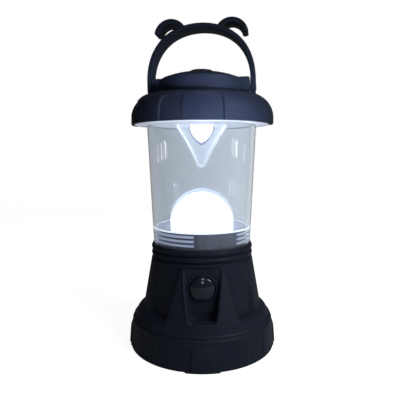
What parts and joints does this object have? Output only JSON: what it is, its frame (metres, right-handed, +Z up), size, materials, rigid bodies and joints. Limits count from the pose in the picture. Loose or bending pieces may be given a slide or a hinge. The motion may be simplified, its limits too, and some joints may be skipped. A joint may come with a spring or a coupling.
{
  "type": "camping lantern",
  "caption": "Camping lantern with a battery base, push button, clear globe over a light dome, domed cap and a swinging bail handle with cord hooks.",
  "frame": {"origin": "on the floor, under the middle of the base", "axes": "+Z up along the lantern's axis, -Y out through the push button, +X to the right of it"},
  "size_m": [0.0872, 0.0872, 0.1901],
  "materials": {
    "housing": "soft-touch moulding, fine grain",
    "handle": "satin moulding",
    "inner_black": "plain moulding",
    "button": "glossy moulding",
    "rubber": "matte rubber",
    "clear_plastic": "clear, polished",
    "milky_plastic": "milky, satin",
    "bright_plate": "vacuum-coated mirror",
    "white_plastic": "white, glossy",
    "lamp": "phosphor under a clear lens",
    "board": "green circuit board",
    "switch": "moulded switch case",
    "steel": "zinc plated",
    "brass": "stamped",
    "cell": "printed sleeve"
  },
  "bodies": {
    "base": {"base_housing": "housing", "lamp_neck": "inner_black", "neck_screws": "steel", "led_board": "white_plastic", "led_emitter": "lamp", "reflector_plate": "bright_plate", "diffuser_dome": "milky_plastic", "battery_carrier": "inner_black", "aa_cell_1": "cell", "aa_cell_2": "cell", "aa_cell_3": "cell", "cell_contacts": "brass", "cell_springs": "steel", "switch_body": "switch", "switch_board": "board", "switch_screws": "steel", "globe_seal": "rubber"},
    "foot": {"foot_cover": "housing", "rubber_feet": "rubber", "foot_seal": "rubber"},
    "button": {"switch_button": "button", "switch_plunger": "button"},
    "globe": {"globe": "clear_plastic", "top_reflector": "white_plastic", "cone_guide": "clear_plastic", "cone_reflector": "bright_plate", "cap_shade": "housing", "cap_crown": "housing", "crown_screws": "steel", "crown_plug": "housing", "pivot_pin_left": "steel", "pivot_pin_right": "steel"},
    "handle": {"handle": "handle"}
  },
  "joints": [
    {"name": "foot_twist", "type": "hinge", "parent": "base", "child": "foot", "pos_m": [0, 0, 0], "axis": [0, 0, -1], "range_deg": [0, 60]},
    {"name": "globe_twist", "type": "hinge", "parent": "base", "child": "globe", "pos_m": [0, 0, 0], "axis": [0, 0, 1], "range_deg": [0, 60]},
    {"name": "button_press", "type": "slide", "parent": "base", "child": "button", "axis": [0, 1, 0], "range_m": [0, 0.0016], "stiffness_N_per_m": 700, "springref_m": -0.0008},
    {"name": "handle_swing", "type": "hinge", "parent": "globe", "child": "handle", "pos_m": [0, 0, 0.1518], "axis": [0.9895, -0.1444, 0], "range_deg": [-85, 85]}
  ]
}
